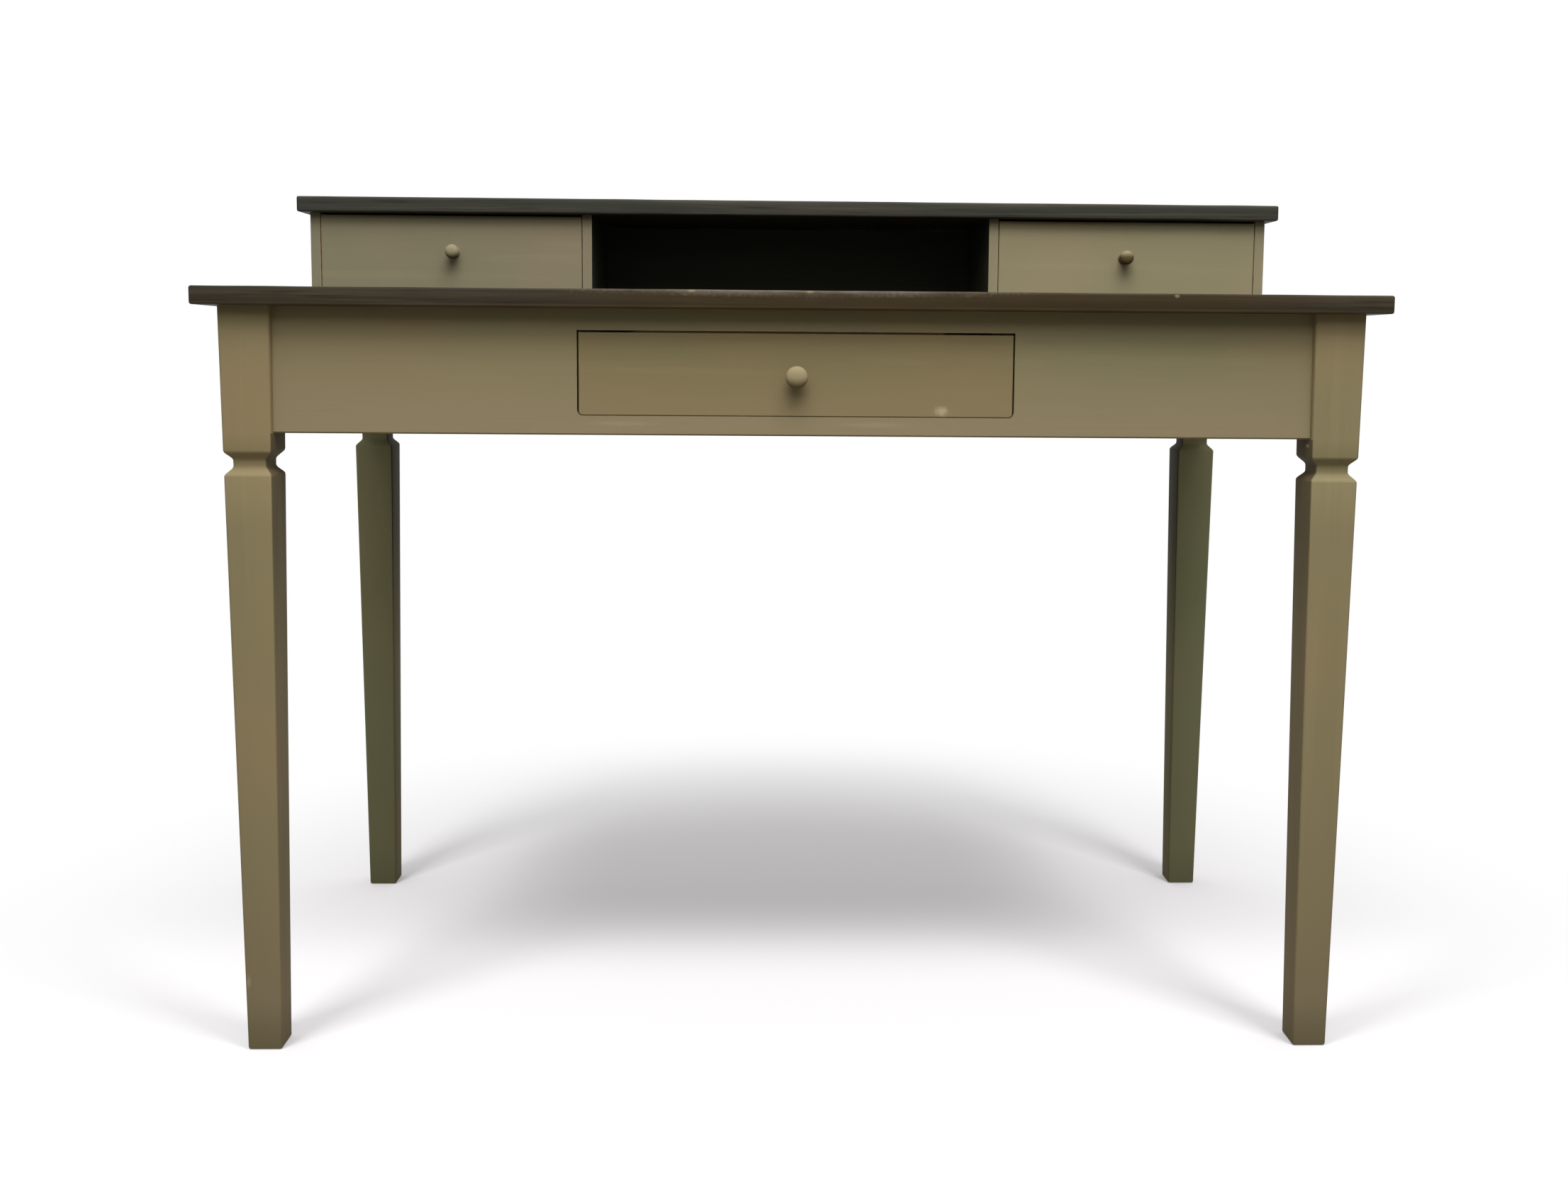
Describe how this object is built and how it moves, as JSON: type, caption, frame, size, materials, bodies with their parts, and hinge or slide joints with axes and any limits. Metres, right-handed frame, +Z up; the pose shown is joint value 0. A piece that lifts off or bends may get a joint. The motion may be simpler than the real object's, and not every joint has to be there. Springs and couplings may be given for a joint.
{
  "type": "writing desk with gallery",
  "caption": "Painted bonheur du jour desk: stained top on tapered necked legs, wide apron drawer, low back gallery with drawers either side of an open compartment.",
  "frame": {"origin": "on the floor, under the middle of the desk top", "axes": "+X to the right of someone facing the front, +Y to the back, +Z up; the front faces -Y"},
  "size_m": [1.154, 0.57, 0.882],
  "materials": {
    "painted_wood": "satin olive-beige paint, lightly worn at the edges",
    "knob_paint": "semi-gloss olive-beige paint, polished by handling",
    "stained_wood": "dark brown stain under satin lacquer, worn along the front arris",
    "bare_wood": "planed bare pine",
    "plywood": "sanded plywood",
    "steel": "zinc-plated steel"
  },
  "bodies": {
    "desk": {"desk_top": "stained_wood", "leg_front_left": "painted_wood", "leg_front_right": "painted_wood", "leg_rear_left": "painted_wood", "leg_rear_right": "painted_wood", "front_apron": "painted_wood", "rear_apron": "painted_wood", "side_apron_left": "painted_wood", "side_apron_right": "painted_wood", "corner_block_front_left": "bare_wood", "corner_block_front_right": "bare_wood", "corner_block_rear_left": "bare_wood", "corner_block_rear_right": "bare_wood", "top_screws": "steel", "runner_left": "bare_wood", "guide_left": "bare_wood", "kicker_left": "bare_wood", "stop_left": "bare_wood", "runner_right": "bare_wood", "guide_right": "bare_wood", "kicker_right": "bare_wood", "stop_right": "bare_wood", "gallery_top": "stained_wood", "gallery_bottom": "stained_wood", "gallery_back": "stained_wood", "gallery_side_left": "painted_wood", "gallery_partition_left": "painted_wood", "gallery_side_right": "painted_wood", "gallery_partition_right": "painted_wood", "gallery_dowels": "bare_wood", "gallery_screws": "steel"},
    "centre_drawer": {"centre_drawer_front": "painted_wood", "centre_drawer_side_left": "bare_wood", "centre_drawer_side_right": "bare_wood", "centre_drawer_back": "bare_wood", "centre_drawer_bottom": "plywood", "centre_drawer_knob": "knob_paint", "centre_drawer_knob_screw": "steel"},
    "left_drawer": {"left_drawer_front": "painted_wood", "left_drawer_side_left": "bare_wood", "left_drawer_side_right": "bare_wood", "left_drawer_back": "bare_wood", "left_drawer_bottom": "plywood", "left_drawer_knob": "knob_paint", "left_drawer_knob_screw": "steel"},
    "right_drawer": {"right_drawer_front": "painted_wood", "right_drawer_side_left": "bare_wood", "right_drawer_side_right": "bare_wood", "right_drawer_back": "bare_wood", "right_drawer_bottom": "plywood", "right_drawer_knob": "knob_paint", "right_drawer_knob_screw": "steel"}
  },
  "joints": [
    {"name": "centre_drawer_slide", "type": "slide", "parent": "desk", "child": "centre_drawer", "axis": [0, -1, 0], "range_m": [0, 0.3]},
    {"name": "left_drawer_slide", "type": "slide", "parent": "desk", "child": "left_drawer", "axis": [0, -1, 0], "range_m": [0, 0.13]},
    {"name": "right_drawer_slide", "type": "slide", "parent": "desk", "child": "right_drawer", "axis": [0, -1, 0], "range_m": [0, 0.13]}
  ]
}
